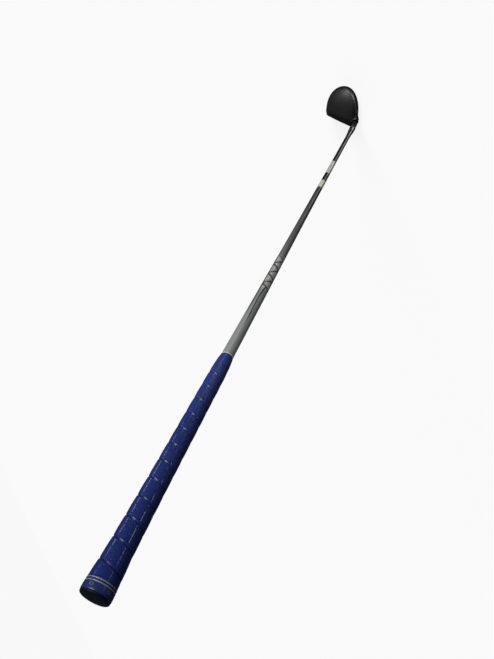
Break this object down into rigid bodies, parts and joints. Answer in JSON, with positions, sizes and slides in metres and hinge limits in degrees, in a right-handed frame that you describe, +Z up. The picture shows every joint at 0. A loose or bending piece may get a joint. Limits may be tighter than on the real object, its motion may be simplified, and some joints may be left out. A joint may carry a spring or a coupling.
{
  "type": "hybrid golf club",
  "caption": "Right-handed golf hybrid: perforated spiral-wrapped grip, tapered graphite shaft, adjustable hosel adapter and deep matte head with a screwed sole weight.",
  "frame": {"origin": "centre of the flat pad in the middle of the head's sole, which rests on the ground at address", "axes": "+X from heel to toe, +Y out of the face towards the target, +Z up; the shaft rises towards -X and +Z at the lie angle"},
  "size_m": [0.6442, 0.0772, 0.8937],
  "materials": {
    "grip_polymer": "glossy, perforated, spiral wrapped",
    "grip_cap": "satin",
    "cap_dark": "satin",
    "trim_silver": "bright",
    "underlisting_rubber": "matt",
    "tape": "paper tape",
    "graphite": "lacquered, silver-grey fading to black",
    "label": "clear-coated film",
    "plug": "plain",
    "ferrule_black": "polished",
    "adapter": "black anodised",
    "head_steel": "black satin over cast steel",
    "crown": "matte black",
    "face_steel": "brushed",
    "fastener": "plain",
    "weight": "satin"
  },
  "bodies": {
    "shaft_assembly": {"shaft": "graphite", "tip_plug": "plug", "ferrule": "ferrule_black", "hosel_sleeve": "adapter", "shaft_band_upper": "label", "shaft_band_lower": "label", "finishing_tape": "tape", "grip_tape": "tape", "grip_underlisting": "underlisting_rubber", "grip_wrap": "grip_polymer", "grip_collar": "grip_polymer", "butt_cap": "grip_cap", "cap_disc": "cap_dark", "trim_ring_upper": "trim_silver", "trim_ring_lower": "trim_silver"},
    "head": {"head_body": "head_steel", "crown_shell": "crown", "face_plate": "face_steel", "screw_washer": "fastener"},
    "hosel_screw": {"hosel_screw": "fastener"},
    "sole_weight": {"sole_weight": "weight"},
    "weight_screw": {"weight_screw": "fastener"}
  },
  "joints": [
    {"name": "head_release", "type": "slide", "parent": "shaft_assembly", "child": "head", "axis": [0.5314, 0, -0.8471], "range_m": [0, 0.008]},
    {"name": "hosel_screw_turn", "type": "hinge", "parent": "head", "child": "hosel_screw", "pos_m": [-0.03931, 0.01975, 0.00509], "axis": [0.5314, 0, -0.8471], "range_deg": [0, 3601]},
    {"name": "weight_release", "type": "slide", "parent": "head", "child": "sole_weight", "axis": [0, -0.1736, -0.9848], "range_m": [0, 0.0056]},
    {"name": "weight_screw_turn", "type": "hinge", "parent": "sole_weight", "child": "weight_screw", "pos_m": [0.004, -0.023, 0.00125], "axis": [0, -0.1736, -0.9848], "range_deg": [0, 2881]}
  ],
  "couplings": [
    {"joint": "hosel_screw_turn", "follows": "head_release", "rad_per_m": 7854},
    {"joint": "weight_screw_turn", "follows": "weight_release", "rad_per_m": 8976}
  ]
}
